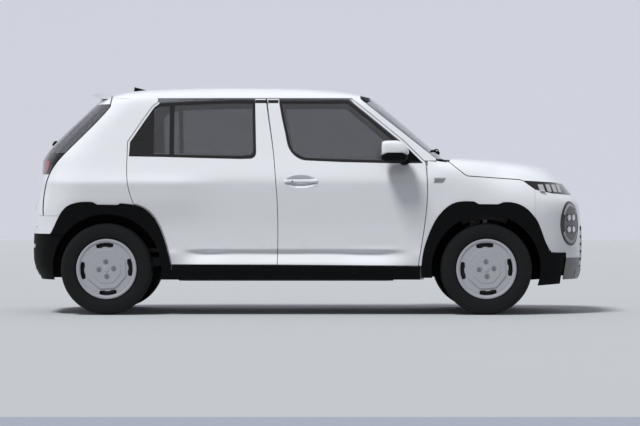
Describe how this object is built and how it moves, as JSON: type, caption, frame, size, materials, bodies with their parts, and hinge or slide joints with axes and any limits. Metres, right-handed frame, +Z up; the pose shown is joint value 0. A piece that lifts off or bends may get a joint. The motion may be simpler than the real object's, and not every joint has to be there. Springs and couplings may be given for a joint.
{
  "type": "electric city car",
  "caption": "Small five-door electric city car with hinged doors, bonnet and tailgate, steered front wheels and free-rolling wheels, black arch cladding and steel-look wheel covers.",
  "frame": {"origin": "on the ground, midway along the car's length and width", "axes": "+X forwards, +Y to the car's left, +Z up"},
  "size_m": [3.8237, 1.904, 1.575],
  "materials": {
    "body_paint": "gloss white paint",
    "black_plastic": "matt grained",
    "grey_plastic": "satin",
    "black_gloss": "gloss",
    "dark_glass": "tinted",
    "lamp_glass": "clear",
    "tyre": "matt",
    "wheel_silver": "satin silver paint",
    "chassis": "satin black",
    "battery_case": "satin",
    "cast_alloy": "cast",
    "steel": "machined",
    "seat_fabric": "woven",
    "dash_plastic": "soft grain"
  },
  "bodies": {
    "body": {"floor_pan": "chassis", "battery_pack": "battery_case", "drive_motor": "cast_alloy", "front_subframe": "chassis", "rear_axle": "chassis", "side_frames": "body_paint", "roof_panel": "body_paint", "cowl_panel": "black_plastic", "front_wings": "body_paint", "bumper_covers": "body_paint", "lower_cladding": "black_plastic", "front_skid_plate": "grey_plastic", "arch_liners": "black_plastic", "windscreen": "dark_glass", "headlamps": "lamp_glass", "signal_band": "black_gloss", "seats": "seat_fabric", "dashboard": "dash_plastic", "roof_antenna": "black_plastic"},
    "bonnet": {"bonnet": "body_paint"},
    "tailgate": {"tailgate": "body_paint", "tailgate_glass": "dark_glass", "rear_spoiler": "body_paint", "tail_lamp_band": "black_gloss"},
    "steering_wheel": {"steering_wheel": "dash_plastic"},
    "door_front_right": {"door_front_right": "body_paint", "door_glass_front_right": "dark_glass", "mirror_right": "body_paint"},
    "door_rear_right": {"door_rear_right": "body_paint", "door_glass_rear_right": "dark_glass"},
    "knuckle_right": {"knuckle_right": "steel"},
    "wheel_front_right": {"tyre_front_right": "tyre", "wheel_front_right": "wheel_silver"},
    "wheel_rear_right": {"tyre_rear_right": "tyre", "wheel_rear_right": "wheel_silver"},
    "door_front_left": {"door_front_left": "body_paint", "door_glass_front_left": "dark_glass", "mirror_left": "body_paint"},
    "door_rear_left": {"door_rear_left": "body_paint", "door_glass_rear_left": "dark_glass"},
    "knuckle_left": {"knuckle_left": "steel"},
    "wheel_front_left": {"tyre_front_left": "tyre", "wheel_front_left": "wheel_silver"},
    "wheel_rear_left": {"tyre_rear_left": "tyre", "wheel_rear_left": "wheel_silver"}
  },
  "joints": [
    {"name": "steer_left", "type": "hinge", "parent": "body", "child": "knuckle_left", "pos_m": [1.2125, 0.64, 0.311], "axis": [0, 0, 1], "range_deg": [-35, 35]},
    {"name": "steer_right", "type": "hinge", "parent": "body", "child": "knuckle_right", "pos_m": [1.2125, -0.64, 0.311], "axis": [0, 0, 1], "range_deg": [-35, 35]},
    {"name": "steering_wheel_turn", "type": "hinge", "parent": "body", "child": "steering_wheel", "pos_m": [0.478, 0.36, 0.9], "axis": [-0.8988, 0, 0.4384], "range_deg": [-500, 500]},
    {"name": "wheel_front_right_spin", "type": "hinge", "parent": "knuckle_right", "child": "wheel_front_right", "pos_m": [1.2125, -0.705, 0.311], "axis": [0, 1, 0], "continuous": true},
    {"name": "wheel_front_left_spin", "type": "hinge", "parent": "knuckle_left", "child": "wheel_front_left", "pos_m": [1.2125, 0.705, 0.311], "axis": [0, 1, 0], "continuous": true},
    {"name": "wheel_rear_right_spin", "type": "hinge", "parent": "body", "child": "wheel_rear_right", "pos_m": [-1.3675, -0.705, 0.311], "axis": [0, 1, 0], "continuous": true},
    {"name": "wheel_rear_left_spin", "type": "hinge", "parent": "body", "child": "wheel_rear_left", "pos_m": [-1.3675, 0.705, 0.311], "axis": [0, 1, 0], "continuous": true},
    {"name": "door_front_right_hinge", "type": "hinge", "parent": "body", "child": "door_front_right", "pos_m": [0.812, -0.785, 0.7], "axis": [0, 0, 1], "range_deg": [0, 68]},
    {"name": "door_rear_right_hinge", "type": "hinge", "parent": "body", "child": "door_rear_right", "pos_m": [-0.206, -0.785, 0.7], "axis": [0, 0, 1], "range_deg": [0, 68]},
    {"name": "door_front_left_hinge", "type": "hinge", "parent": "body", "child": "door_front_left", "pos_m": [0.812, 0.785, 0.7], "axis": [0, 0, -1], "range_deg": [0, 68]},
    {"name": "door_rear_left_hinge", "type": "hinge", "parent": "body", "child": "door_rear_left", "pos_m": [-0.206, 0.785, 0.7], "axis": [0, 0, -1], "range_deg": [0, 68]},
    {"name": "bonnet_hinge", "type": "hinge", "parent": "body", "child": "bonnet", "pos_m": [0.948, 0, 1.044], "axis": [0, -1, 0], "range_deg": [0, 50]},
    {"name": "tailgate_hinge", "type": "hinge", "parent": "body", "child": "tailgate", "pos_m": [-1.35, 0, 1.508], "axis": [0, 1, 0], "range_deg": [0, 78]}
  ],
  "couplings": [
    {"joint": "steer_right", "follows": "steer_left", "ratio": 1},
    {"joint": "steering_wheel_turn", "follows": "steer_left", "ratio": 14}
  ]
}
